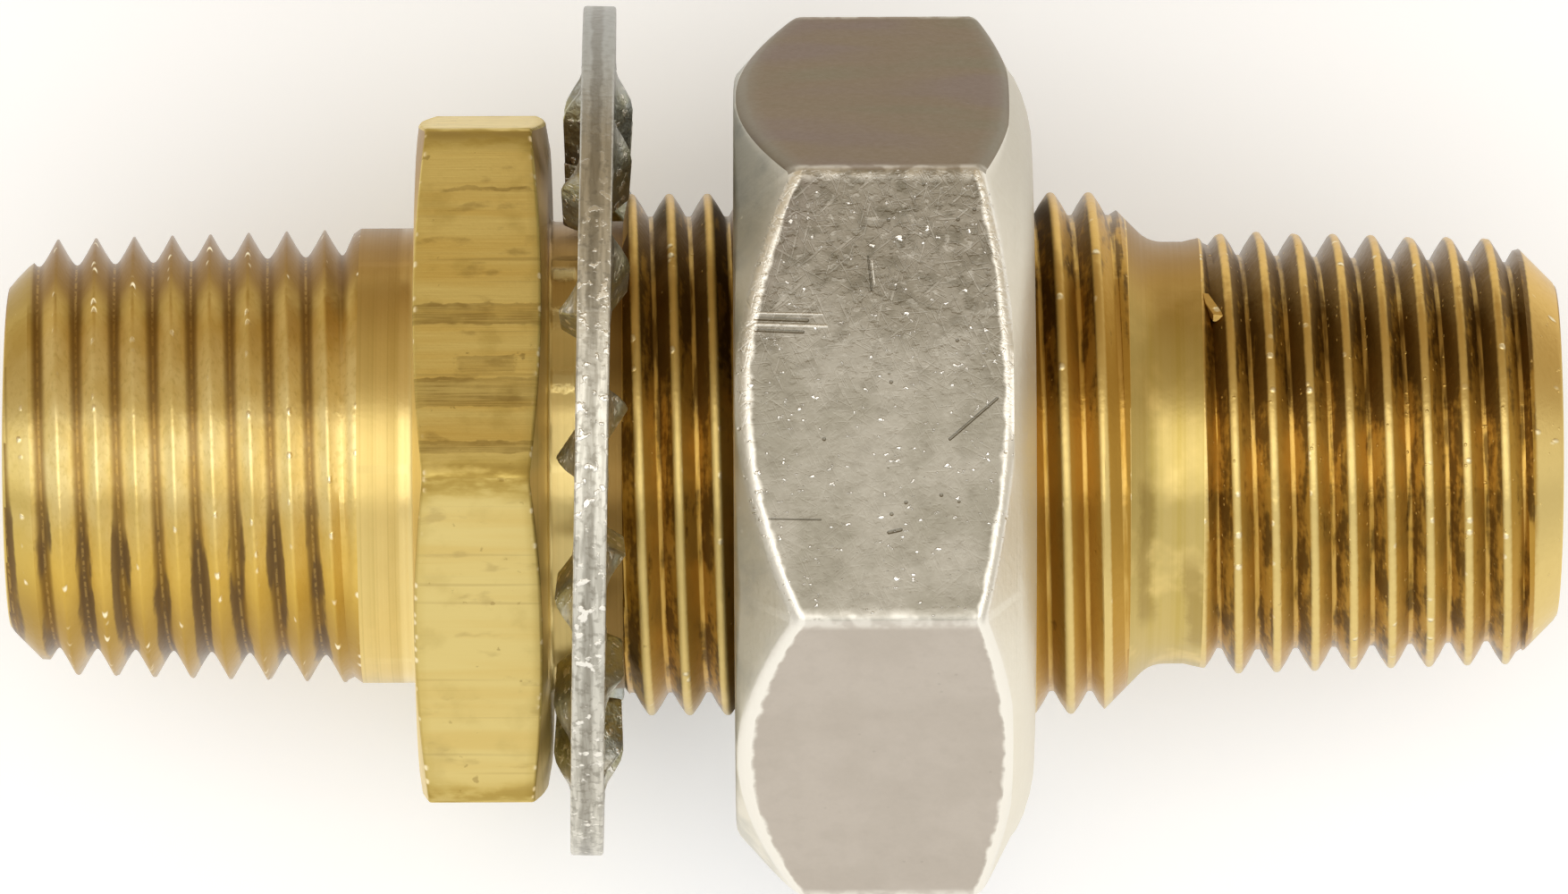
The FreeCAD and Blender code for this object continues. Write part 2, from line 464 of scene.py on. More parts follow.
def nut_bore(station, angle, depth):
    """Radius and cut of the nut's own thread, whose grooves take the body's crests."""
    groove = BULKHEAD_RADIUS + NUT_CLEARANCE - BULKHEAD_DEPTH * depth
    mouth = NUT_COUNTERSINK - min(station - NUT_BACK, NUT_FRONT - station)
    return max(groove, NUT_MINOR, mouth), depth


# Places in the nut's list of materials.
NUT_SIDE, NUT_SLANT, NUT_BORE = range(3)


def build_nut(materials):
    """The jam nut: a hexagon with a cone at the back and a crowned front."""
    shell = Shell(NUT_TURN, NUT_APOTHEM, NUT_CORNER, plain_count=22)
    back_mouth = shell.ring(NUT_BACK, NUT_COUNTERSINK)
    back_turn = [shell.ring(NUT_BACK + along, NUT_BACK_FACE - inward) for along, inward in NUT_BACK_TURN]
    cone_radii = [NUT_BACK_FACE + (side - NUT_BACK_FACE) * NUT_CONE_SHARE for side in shell.sides]
    back_cone = shell.ring([NUT_BACK + (r - NUT_BACK_FACE) * NUT_BACK_SLOPE for r in cone_radii], cone_radii)
    sides = shell.edge(NUT_BACK, NUT_BACK_FACE, NUT_BACK_SLOPE, 1, NUT_EDGE, NUT_EDGE_ROOM)
    sides += shell.edge(
        NUT_SHOULDER_STATION, NUT_SHOULDER, NUT_FRONT_SLOPE, -1, reversed(NUT_EDGE), NUT_EDGE_ROOM,
    )
    drop = NUT_FRONT - NUT_SHOULDER_STATION
    width = NUT_SHOULDER - NUT_LAND
    crown = [shell.ring(NUT_FRONT - drop * fall, NUT_LAND + width * out) for fall, out in NUT_CROWN]
    front_mouth = shell.ring(NUT_FRONT, NUT_COUNTERSINK)
    shell.bridge([back_mouth, *back_turn, back_cone, sides[0]], NUT_SLANT)
    shell.bridge(sides, NUT_SIDE)
    shell.bridge([sides[-1]] + crown + [front_mouth], NUT_SLANT)
    shell.thread(
        back_mouth, front_mouth, NUT_BACK, NUT_FRONT, BULKHEAD_CREST,
        BLUNT_THREAD, nut_bore, NUT_BORE,
    )
    return shell.finish("nut_shell", materials, NUT_SHARP)


def twisted(through, across, radius):
    """Place in a tooth, which turns about its own radial line as it leaves the rim."""
    turn = TOOTH_TWIST * smooth_step((WASHER_INNER - radius) / TOOTH_TWIST_LENGTH)
    side = across * math.cos(turn) - through * math.sin(turn)
    return Vector((through * math.cos(turn) + across * math.sin(turn), side, radius))


def build_washer(materials):
    """The lock washer: a flat rim with twisted teeth inside it."""
    mesh = bmesh.new()
    wear = mesh.verts.layers.float.new("wear")
    tooth_columns, gap_columns, rim_rows, tooth_rows = 8, 6, 4, 9
    step = math.tau / TOOTH_COUNT
    half_angle = math.asin(TOOTH_ROOT_WIDTH / 2 / WASHER_INNER)
    offsets = [half_angle * (2 * i / tooth_columns - 1) for i in range(tooth_columns + 1)]
    space = step - 2 * half_angle
    offsets += [half_angle + space * i / gap_columns for i in range(1, gap_columns)]
    per_tooth = len(offsets)
    angles = [TOOTH_TURN + tooth * step + offset for tooth in range(TOOTH_COUNT) for offset in offsets]
    seat = Matrix.Rotation(WASHER_TILT, 4, "Y") @ Matrix.Rotation(WASHER_LEAN, 4, "Z")
    seat = Matrix.Translation(polar(WASHER_STATION, WASHER_HANG, WASHER_HANG_ANGLE)) @ seat

    def put(place, worn):
        made = mesh.verts.new((seat @ place) * MM)
        made[wear] = worn
        return made

    layers = []
    for through in (-WASHER_THICKNESS / 2, WASHER_THICKNESS / 2):
        rim = []
        for angle in angles:
            column = []
            for row in range(rim_rows + 1):
                radius = WASHER_INNER + (WASHER_RADIUS - WASHER_INNER) * row / rim_rows
                column.append(put(polar(through, radius, angle), 0.0))
            rim.append(column)
        teeth = []
        for tooth in range(TOOTH_COUNT):
            turn = Matrix.Rotation(TOOTH_TURN + tooth * step, 4, "X")
            columns = []
            for i in range(tooth_columns + 1):
                share = i / tooth_columns - 0.5
                column = [rim[tooth * per_tooth + tooth_columns - i][0]]
                for row in range(1, tooth_rows + 1):
                    down = row / tooth_rows
                    width = TOOTH_ROOT_WIDTH + (TOOTH_TIP_WIDTH - TOOTH_ROOT_WIDTH) * down
                    across = width * share
                    arc = math.sqrt(TOOTH_TIP ** 2 - across ** 2)
                    radius = WASHER_INNER + (arc - WASHER_INNER) * down
                    column.append(put(turn @ twisted(through, across, radius), down))
                columns.append(column)
            teeth.append(columns)
        layers.append((rim, teeth))

    def skin(columns):
        """Faces between neighbouring columns of vertices."""
        for one, two in zip(columns, columns[1:]):
            for corners in zip(one, one[1:], two[1:], two):
                mesh.faces.new(corners)

    for rim, teeth in layers:
        skin(rim + rim[:1])
        for columns in teeth:
            skin(columns)
    (low_rim, low_teeth), (high_rim, high_teeth) = layers
    outside = [(low[-1], high[-1]) for low, high in zip(low_rim, high_rim)]
    inside = [(low[0], high[0]) for low, high in zip(low_rim, high_rim)]
    skin(outside + outside[:1])
    for i in range(len(angles)):
        if i % per_tooth >= tooth_columns:
            skin([inside[i], inside[(i + 1) % len(angles)]])
    for low, high in zip(low_teeth, high_teeth):
        for i in (0, -1):
            skin([low[i], high[i]])
        skin([[column[-1] for column in layer] for layer in (low, high)])
    bmesh.ops.recalc_face_normals(mesh, faces=mesh.faces)
    crisp = [e for e in mesh.edges if e.calc_face_angle(0.0) > WASHER_CRISP]
    bmesh.ops.bevel(
        mesh, geom=crisp, offset=WASHER_EDGE * MM, offset_type="OFFSET", segments=2,
        profile=0.5, affect="EDGES", clamp_overlap=True,
    )
    for face in mesh.faces:
        face.smooth = True
    return make_object("washer_ring", mesh, materials, WASHER_SHARP)


# Distance in a hexagon's noise between one side and the next, so that no two sides are alike.
SIDE_SHIFT = 37.0


class Value:
    """An output of a shader node. Arithmetic with it adds further nodes."""

    def __init__(self, nodes, socket):
        self.nodes = nodes
        self.socket = socket

    def __add__(self, other):
        return self.nodes.math("ADD", self, other)

    def __sub__(self, other):
        return self.nodes.math("SUBTRACT", self, other)

    def __rsub__(self, other):
        return self.nodes.math("SUBTRACT", other, self)

    def __mul__(self, other):
        return self.nodes.math("MULTIPLY", self, other)

    def __truediv__(self, other):
        return self.nodes.math("DIVIDE", self, other)

    def __abs__(self):
        return self.nodes.math("ABSOLUTE", self)

    __radd__ = __add__
    __rmul__ = __mul__

    def rise(self, low, high):
        """Eased rise from 0 at low to 1 at high."""
        node = self.nodes.add("ShaderNodeMapRange", self, low, high, interpolation_type="SMOOTHSTEP")
        return Value(self.nodes, node.outputs["Result"])

    def between(self, low, high, soft):
        """1 from low to high, fading over the soft width outside."""
        return self.rise(low - soft, low) * self.rise(high + soft, high)

    def near(self, level):
        """1 where the value is close to a level."""
        return self.between(level - 0.2, level + 0.2, 0.2)


class Nodes:
    """Short ways to add nodes to a shader tree and join them."""

    def __init__(self, tree):
        self.tree = tree

    def join(self, value, socket):
        """Gives a socket a constant or the output of another node."""
        if isinstance(value, Value):
            value = value.socket
        if isinstance(value, bpy.types.NodeSocket):
            self.tree.links.new(value, socket)
        elif isinstance(value, tuple) and len(value) == 3 and len(socket.default_value) == 4:
            socket.default_value = (*value, 1.0)
        else:
            socket.default_value = value

    def add(self, kind, *terms, **settings):
        """A node of a kind, with settings, whose first inputs take the terms."""
        node = self.tree.nodes.new(kind)
        for name, setting in settings.items():
            setattr(node, name, setting)
        for term, socket in zip(terms, node.inputs):
            self.join(term, socket)
        return node

    def math(self, operation, *terms, clamp=False):
        node = self.add("ShaderNodeMath", *terms, operation=operation, use_clamp=clamp)
        return Value(self, node.outputs[0])

    def most(self, best, *others):
        """The largest of several values."""
        for other in others:
            best = self.math("MAXIMUM", best, other)
        return best

    def vector(self, operation, *terms, scale=None):
        node = self.add("ShaderNodeVectorMath", *terms, operation=operation)
        if scale is not None:
            node.inputs["Scale"].default_value = scale
        return Value(self, node.outputs["Value" if operation in ("LENGTH", "DOT_PRODUCT") else "Vector"])

    def split(self, vector):
        return [Value(self, part) for part in self.add("ShaderNodeSeparateXYZ", vector).outputs]

    def combine(self, *parts):
        return Value(self, self.add("ShaderNodeCombineXYZ", *parts).outputs[0])

    def mix(self, one, two, share):
        """Colour that a share takes from one to two."""
        node = self.add("ShaderNodeMix", data_type="RGBA")
        for value, socket in ((share, node.inputs[0]), (one, node.inputs[6]), (two, node.inputs[7])):
            self.join(value, socket)
        return Value(self, node.outputs[2])


class Metal(Nodes):
    """Nodes of a metal's material.

    place is in millimetres, angle is about the axis, reach is the distance from it, and high runs
    from 1 where a surface is uppermost in the picture to -1 where it is lowest.
    """

    def __init__(self, name):
        self.material = bpy.data.materials.new(name)
        self.material.use_nodes = True
        super().__init__(self.material.node_tree)
        self.shader = self.tree.nodes["Principled BSDF"]
        self.shader.inputs["Metallic"].default_value = 1.0
        self.place = self.vector("SCALE", self.add("ShaderNodeTexCoord").outputs["Object"], scale=1 / MM)
        self.x, self.y, self.z = self.split(self.place)
        self.angle = self.math("ARCTAN2", -1.0 * self.y, self.z)
        self.outward = self.vector("MULTIPLY", self.place, (0.0, 1.0, 1.0))
        self.reach = self.vector("LENGTH", self.outward)
        self.high = self.y / self.reach

    def attribute(self, name):
        return Value(self, self.add("ShaderNodeAttribute", attribute_name=name).outputs["Fac"])

    def normal(self):
        return self.add("ShaderNodeNewGeometry").outputs["Normal"]

    def noise(self, scale, at=None, detail=3.0, stretch=(1.0, 1.0, 1.0), turn=0.0, shift=0.0):
        """Noise of about scale features to a millimetre, turned and then stretched."""
        turned = self.add("ShaderNodeVectorRotate", at or self.place, rotation_type="Z_AXIS")
        turned.inputs["Angle"].default_value = turn
        mapping = self.add("ShaderNodeMapping", turned.outputs["Vector"], vector_type="POINT")
        mapping.inputs["Scale"].default_value = stretch
        mapping.inputs["Location"].default_value = (shift, shift * 0.7, shift * 1.3)
        node = self.add("ShaderNodeTexNoise", mapping.outputs["Vector"])
        node.inputs["Scale"].default_value = scale
        node.inputs["Detail"].default_value = detail
        return Value(self, node.outputs["Fac"])

    def spots(self, vector, scale, size, share):
        """Scattered round spots: a share of the cells has one, of a size in cells."""
        node = self.add("ShaderNodeTexVoronoi", vector)
        node.inputs["Scale"].default_value = scale
        chosen = self.split(node.outputs["Color"])[0].rise(1 - share, 1 - share + 0.02)
        return Value(self, node.outputs["Distance"]).rise(size, size * 0.4) * chosen

    def nicks(self, crest, radius, scale, size, share):
        """Spots on a thread's crests of a radius, on the upper half of the body."""
        unrolled = self.combine(self.x, self.angle * radius, 0.0)
        return self.spots(unrolled, scale, size, share) * crest * self.z.rise(-1.0, 5.0)

    def hex_sides(self, middle, apothem):
        """Where a point is on a hexagon whose first side faces the angle middle.

        Gives the angle off its side's middle, the distance across that side, the side's number
        from -3 to 2, and a place on that side laid flat.
        """
        from_first = self.angle - middle
        off = self.math("WRAP", from_first, SECTOR / 2, -SECTOR / 2)
        across = self.math("TANGENT", off) * apothem
        side = self.math("WRAP", self.math("ROUND", from_first / SECTOR), 3.0, -3.0)
        return off, across, side, self.combine(self.x, across, side * SIDE_SHIFT)

    def turned(self, amount):
        """Smears the gloss along the axis, as the marks of a turning tool do."""
        tangent = self.add("ShaderNodeTangent", direction_type="RADIAL", axis="X")
        self.join(tangent.outputs["Tangent"], self.shader.inputs["Tangent"])
        self.shader.inputs["Anisotropic"].default_value = amount
        self.shader.inputs["Anisotropic Rotation"].default_value = 0.25

    def rounded(self, share):
        """Normal turned by a share from the surface's own to straight out from the axis."""
        placed = self.add(
            "ShaderNodeVectorTransform", self.vector("NORMALIZE", self.outward),
            vector_type="NORMAL", convert_from="OBJECT", convert_to="WORLD",
        )
        own = self.vector("SCALE", self.normal(), scale=1 - share)
        outward = self.vector("SCALE", placed.outputs["Vector"], scale=share)
        return self.vector("NORMALIZE", self.vector("ADD", own, outward))

    def finish(self, colour, roughness, height, normal=None):
        """Joins colour, roughness and height in millimetres to the shader."""
        self.join(colour, self.shader.inputs["Base Color"])
        self.join(roughness, self.shader.inputs["Roughness"])
        bump = self.add("ShaderNodeBump")
        bump.inputs["Distance"].default_value = MM
        self.join(height, bump.inputs["Height"])
        if normal is not None:
            self.join(normal, bump.inputs["Normal"])
        self.join(bump.outputs["Normal"], self.shader.inputs["Normal"])
        return self.material


# Colours of the brass, clean and stained, with some that also serve as painted shade and painted glints.
BRASS_GLINT = (0.95, 0.84, 0.55)
BRASS_BRIGHT = (0.80, 0.62, 0.24)
BRASS_PLAIN = (0.74, 0.55, 0.165)
BRASS_STRAW = (0.80, 0.65, 0.24)
BRASS_OLIVE = (0.55, 0.415, 0.115)
BRASS_UMBER = (0.33, 0.225, 0.062)
BRASS_HONEY = (0.70, 0.46, 0.13)
BRASS_AMBER = (0.47, 0.27, 0.048)
BRASS_GOLD = (0.70, 0.45, 0.075)
BRASS_PEAT = (0.17, 0.105, 0.045)
BRASS_BROWN = (0.22, 0.115, 0.025)
BRASS_SOOT = (0.165, 0.092, 0.020)
BRASS_PALE = (0.92, 0.76, 0.36)
BRASS_DUN = (0.50, 0.385, 0.16)
BRASS_DULL = (0.595, 0.46, 0.165)
BRASS_SATIN = (0.74, 0.565, 0.215)


def clean_thread(name):
    """Brass of the back thread: satin ridges with painted glints on the crests, grime and painted shade in
    the roots, and painted shade towards the top and bottom.
    """
    nodes = Metal(name)
    nodes.turned(0.82)
    depth = nodes.attribute("depth")
    patches = nodes.noise(0.45)
    grain = nodes.noise(3.2, detail=4.0)
    below = nodes.high.rise(-0.20, -0.72)
    streaks = nodes.noise(1.0, stretch=(1.3, 0.2, 0.2))
    stain = below * streaks.rise(0.25, 0.75)
    reach = depth + 0.20 * patches + 0.10 * grain + 0.36 * stain - 0.15
    shade = 0.95 * depth.rise(0.64, 1.0)
    wedge = reach.rise(0.74, 0.94) * stain.rise(0.02, 0.55)
    line = depth.rise(0.975, 0.995) * grain.rise(0.40, 0.55)
    tone = nodes.mix(BRASS_BRIGHT, BRASS_PALE, patches.rise(0.35, 0.65))
    tone = nodes.mix(tone, BRASS_OLIVE, 0.3 * grain.rise(0.50, 0.70))
    # Painted shade: gold, then amber and brown towards the top.
    tone = nodes.mix(tone, BRASS_GOLD, 0.8 * nodes.high.rise(0.20, 0.72))
    tone = nodes.mix(tone, BRASS_AMBER, 0.9 * nodes.high.rise(0.72, 0.98))
    tone = nodes.mix(tone, BRASS_BROWN, 0.92 * nodes.high.rise(0.48, 0.75))
    # Painted shade: gold towards the bottom.
    tone = nodes.mix(tone, BRASS_GOLD, 0.9 * nodes.high.rise(-0.10, -0.75))
    end_cone = nodes.x.rise(BACK_END + END_CHAMFER, BACK_END + 0.4 * END_CHAMFER)
    tone = nodes.mix(tone, BRASS_OLIVE, 0.4 * end_cone)
    # Painted shade: brown at the bottom.
    tone = nodes.mix(tone, BRASS_BROWN, 0.55 * nodes.high.rise(-0.60, -0.93))
    # Painted glints on the crests, on the upper half of the body only.
    glints = nodes.nicks(depth.rise(0.20, 0.06), BACK_RADIUS, 1.5, 0.36, 0.45)
    tone = nodes.mix(tone, BRASS_GLINT, glints)
    # Grime and painted shade in the roots.
    colour = nodes.mix(tone, BRASS_BROWN, 0.85 * shade)
    colour = nodes.mix(colour, BRASS_PEAT, 0.9 * wedge)
    # Painted highlight: a thin pale line along the roots.
    colour = nodes.mix(colour, BRASS_HONEY, 0.35 * line)
    roughness = 0.28 + 0.12 * grain + 0.12 * shade - 0.14 * glints
    height = 0.012 * grain + 0.025 * glints
    return nodes.finish(colour, roughness, height, nodes.rounded(0.56))


def dark_thread(name, crest_reach, amber, amber_front, speckle):
    """Brass of an aged thread: bright crests, dark flanks with amber patches, painted shade behind the nut
    and towards the top, thin painted highlights in the roots and painted glints on the crests.

    crest_reach is the depth that the bright crests reach down to, amber and amber_front are the amber's
    shares behind and in front of the nut, the share behind being lower as painted shade of the nut and
    washer, and speckle is the share of cells with a speck.
    """
    nodes = Metal(name)
    nodes.turned(0.85)
    depth = nodes.attribute("depth")
    patches = nodes.noise(0.6)
    grain = nodes.noise(3.0, detail=4.0)
    streaks = nodes.noise(1.0, stretch=(3.0, 0.35, 0.35))
    ahead = nodes.x.rise(NUT_BACK, NUT_FRONT)
    below = nodes.high.rise(0.78, -0.30)
    facing = nodes.split(nodes.normal())[0]
    # Flank colour from tarnish noise and painted shade: darker behind the nut, where the nut and washer shade
    # it, and darker towards the top; flanks facing the front end are more amber.
    age_and_shade = (
        0.25 * patches + 0.20 * grain + 0.55 * streaks + 0.08 * facing
        + (amber_front - amber) * ahead + 0.22 * below + (amber - 0.67)
    )
    flank = nodes.mix(BRASS_SOOT, BRASS_AMBER, age_and_shade.rise(-0.03, 0.12))
    crest = (depth + 0.08 * grain).rise(crest_reach + 0.16, crest_reach)
    root = depth.rise(0.965, 0.995) * streaks.rise(0.36, 0.60)
    specks = nodes.spots(nodes.place, 2.2, 0.20, speckle)
    tone = nodes.mix(flank, BRASS_HONEY, 0.7 * specks)
    # Painted highlight: thin pale lines in the roots.
    tone = nodes.mix(tone, BRASS_HONEY, 0.6 * root)
    # Painted shade: the crests are dimmer honey towards the top and paler satin towards the bottom.
    tone = nodes.mix(tone, nodes.mix(BRASS_HONEY, BRASS_SATIN, below), crest)
    # Dents in the crests, with painted glints on them, on the upper half of the body only.
    dents = nodes.nicks(crest, BULKHEAD_RADIUS, 1.2, 0.3, 0.3)
    tone = nodes.mix(tone, BRASS_GLINT, dents)
    roughness = 0.28 + 0.16 * grain + 0.06 * crest
    height = 0.02 * grain + 0.03 * specks + 0.04 * dents
    return nodes.finish(tone, roughness, height, nodes.rounded(0.3))


def turned_brass(name, plain, band_strength, polished, stains, gleams):
    """Brass with the lines of a turning tool round it, polished stretches painted paler as highlights,
    streaks of stain and of painted shade, painted gleams, and painted shade towards the top.
    """
    nodes = Metal(name)
    nodes.turned(0.78)
    along = nodes.combine(nodes.x, 0.0, 0.0)
    fine = nodes.noise(7.0, along)
    broad = nodes.noise(1.6, along, detail=2.0)
    patches = nodes.noise(0.4)
    grain = nodes.noise(4.0, detail=4.0)
    tone = nodes.mix(plain, BRASS_OLIVE, broad.rise(0.42, 0.66) * band_strength)
    tone = nodes.mix(tone, BRASS_BRIGHT, patches.rise(0.45, 0.75))
    tone = nodes.mix(tone, BRASS_OLIVE, 0.35 * fine.rise(0.5, 0.7))
    roughness = 0.34 + 0.12 * fine + 0.10 * patches
    for low, high, soft in polished:
        bright = nodes.x.between(low, high, soft)
        roughness -= 0.14 * bright
        # Painted highlight on the polished stretch.
        tone = nodes.mix(tone, BRASS_PALE, 0.4 * bright)
    # Painted shade: amber and then brown towards the top.
    tone = nodes.mix(tone, BRASS_AMBER, 0.9 * nodes.high.rise(0.30, 0.78))
    tone = nodes.mix(tone, BRASS_BROWN, 0.6 * nodes.high.rise(0.52, 0.84))
    ragged = nodes.x + 1.2 * patches + 0.3 * grain - 0.75
    # Streaks from a table: stains on the relief, painted shade on the neck under the washer.
    for low, high, from_angle, to_angle, strength, shade in stains:
        where = ragged.between(low, high, 0.5)
        span = nodes.angle.between(from_angle, to_angle, 0.15)
        tone = nodes.mix(tone, shade, where * span * strength)
    height = 0.008 * fine + 0.008 * broad + 0.005 * grain
    # Painted highlights: pale gleams, also raised a little and made rougher.
    for low, high, from_angle, to_angle in gleams:
        where = nodes.x.between(low, high, 0.2)
        span = (nodes.angle + 0.03 * grain - 0.015).between(from_angle, to_angle, 0.05)
        gleam = where * span
        tone = nodes.mix(tone, BRASS_PALE, gleam)
        roughness += 0.25 * gleam
        height += 0.08 * gleam
    return nodes.finish(tone, roughness, height)


# Stain bands on the collar's upper side: from and to off its middle line, from and to station.
COLLAR_STAINS = (
    (0.1, 1.1, -7.0, 1.0),
    (4.0, 5.4, -7.0, 1.0),
    (7.3, 7.8, -7.0, 1.0),
    (2.85, 3.65, -3.9, -1.6),
    (-6.0, -5.95, -4.6, -1.0),
)


def bar_brass(name):
    """Brass of the drawn hex bar: satin, with faint lines along the axis, spots and stain bands, painted
    shade on its lower side, corners and edges, and painted glints on its edges.
    """
    nodes = Metal(name)
    off, across, side, flat = nodes.hex_sides(COLLAR_TURN - SECTOR / 2, COLLAR_APOTHEM)
    bands = nodes.noise(1.0, flat, stretch=(0.05, 0.8, 1.0))
    lines = nodes.noise(1.0, flat, detail=2.0, stretch=(0.05, 3.0, 1.0), shift=6.0)
    fine = nodes.noise(1.0, flat, stretch=(0.35, 12.0, 1.0), shift=9.0)
    patches = nodes.noise(0.5, flat, detail=4.0, shift=2.0)
    grain = nodes.noise(5.0)
    tone = nodes.mix(BRASS_PLAIN, BRASS_STRAW, bands.rise(0.32, 0.60))
    tone = nodes.mix(tone, BRASS_OLIVE, 0.45 * patches.rise(0.52, 0.70))
    tone = nodes.mix(tone, BRASS_UMBER, 0.35 * lines.rise(0.60, 0.72))
    smears = nodes.noise(1.0, flat, detail=4.0, stretch=(0.5, 1.1, 1.0), shift=13.0)
    tone = nodes.mix(tone, BRASS_UMBER, 0.45 * smears.rise(0.58, 0.72))
    ragged = across + 0.5 * nodes.noise(0.9, flat) + 0.2 * fine - 0.35
    first_side = side.near(0.0)
    stains = []
    for low, high, from_station, to_station in COLLAR_STAINS:
        where = (nodes.x + 0.8 * grain - 0.4).between(from_station, to_station, 0.4)
        line = ragged.between(low - 0.04, low + 0.10, 0.05)
        fill = ragged.between(low, high, 0.08)
        fill *= 0.55 + 0.45 * fine.rise(0.40, 0.62)
        stains.append(nodes.most(line, fill) * where)
    broken = 0.55 + 0.45 * nodes.noise(0.5, flat, shift=4.0).rise(0.38, 0.6)
    stain = nodes.most(*stains) * first_side * broken
    edge = across.rise(-7.6, -9.0) * first_side
    specks = 0.8 * nodes.noise(1.6, flat, shift=8.0).rise(0.68, 0.74)
    stain = nodes.most(stain, specks, edge)
    tone = nodes.mix(tone, BRASS_UMBER, 0.85 * stain)
    # Painted shade: the lower side is duller.
    lower_side = side.near(1.0)
    tone = nodes.mix(tone, BRASS_DUN, 0.45 * lower_side)
    # Painted shade along the corners between sides, which dims their highlight.
    ridge = abs(off).rise(SECTOR / 2 - 0.085, SECTOR / 2 - 0.02)
    ridge *= 0.35 + 0.65 * smears.rise(0.40, 0.60)
    tone = nodes.mix(tone, BRASS_OLIVE, 0.85 * ridge)
    # Painted shade over the rounded edges, and painted glints on them.
    wear = nodes.attribute("wear")
    tone = nodes.mix(tone, BRASS_OLIVE, 0.5 * wear)
    glints = nodes.spots(nodes.place, 2.0, 0.42, 0.6) * wear.rise(0.3, 0.8)
    tone = nodes.mix(tone, BRASS_GLINT, glints)
    roughness = 0.32 + 0.08 * bands + 0.10 * fine + 0.12 * stain + 0.42 * ridge + 0.15 * wear
    height = 0.008 * fine - 0.010 * lines + 0.006 * grain
    return nodes.finish(tone, roughness, height)


# Colours of the zinc plating, then of the washer, with some that also serve as painted highlights and glints.
ZINC_PALE = (0.375, 0.352, 0.297)
ZINC_GREY = (0.30, 0.28, 0.227)
ZINC_DARK = (0.16, 0.142, 0.105)
ZINC_PLUM = (0.15, 0.118, 0.105)
ZINC_BROWN = (0.240, 0.178, 0.108)
ZINC_OLIVE = (0.225, 0.185, 0.110)
ZINC_ROSE = (0.232, 0.170, 0.130)
ZINC_SMOKE = (0.20, 0.172, 0.13)
ZINC_CREAM = (0.80, 0.76, 0.65)
ZINC_BLUE = (0.27, 0.29, 0.28)
ZINC_WORN_AND_HIGHLIGHT = (0.84, 0.81, 0.73)
ZINC_SPARK = (0.97, 0.95, 0.90)
ZINC_TAUPE = (0.60, 0.53, 0.465)
WASHER_OLIVE = (0.48, 0.47, 0.31)
WASHER_BLUE = (0.42, 0.45, 0.43)
WASHER_GREY = (0.36, 0.36, 0.335)


def scratches(nodes, flat, turns):
    """Thin short scratches, one family to a direction."""
    families = []
    for number, turn in enumerate(turns):
        lines = nodes.noise(1.0, flat, detail=1.0, stretch=(0.55, 8.0, 1.0), turn=turn, shift=5.0 * number)
        families.append(lines.rise(0.63, 0.72))
    return nodes.most(*families)


def stroke(nodes, flat, start, end, width):
    """One scratch between two places on a flat side."""
    start, end = Vector((*start, 0.0)), Vector((*end, 0.0))
    line = end - start
    away = nodes.vector("SUBTRACT", flat, tuple(start))
    along = nodes.vector("DOT_PRODUCT", away, tuple(line))
    share = nodes.math("DIVIDE", along, line.length_squared, clamp=True)
    nearest = nodes.combine(*(share * part for part in line))
    distance = nodes.vector("LENGTH", nodes.vector("SUBTRACT", away, nearest))
    return distance.rise(width, 0.3 * width)


def strokes(nodes, flat, marks):
    return nodes.most(*(stroke(nodes, flat, *mark) for mark in marks))


# Scratches on the nut's front side, painted dark as their shade, and the painted highlights beside them, each
# between two (station, across) places, and its width.
NUT_MARKS = (
    ((9.8, -3.60), (12.2, -3.50), 0.11),
    ((9.8, -3.05), (12.0, -2.95), 0.09),
    ((18.8, 2.1), (21.0, 0.2), 0.08),
    ((15.04, -6.5), (15.2, -4.9), 0.05),
    ((15.95, 6.45), (16.5, 6.33), 0.10),
    ((10.4, 5.8), (12.8, 5.85), 0.04),
)
NUT_GLEAMS = (
    ((9.8, -3.32), (13.1, -3.22), 0.10),
    ((9.9, -3.85), (12.9, -3.78), 0.07),
    ((15.22, -6.3), (15.34, -5.2), 0.06),
)


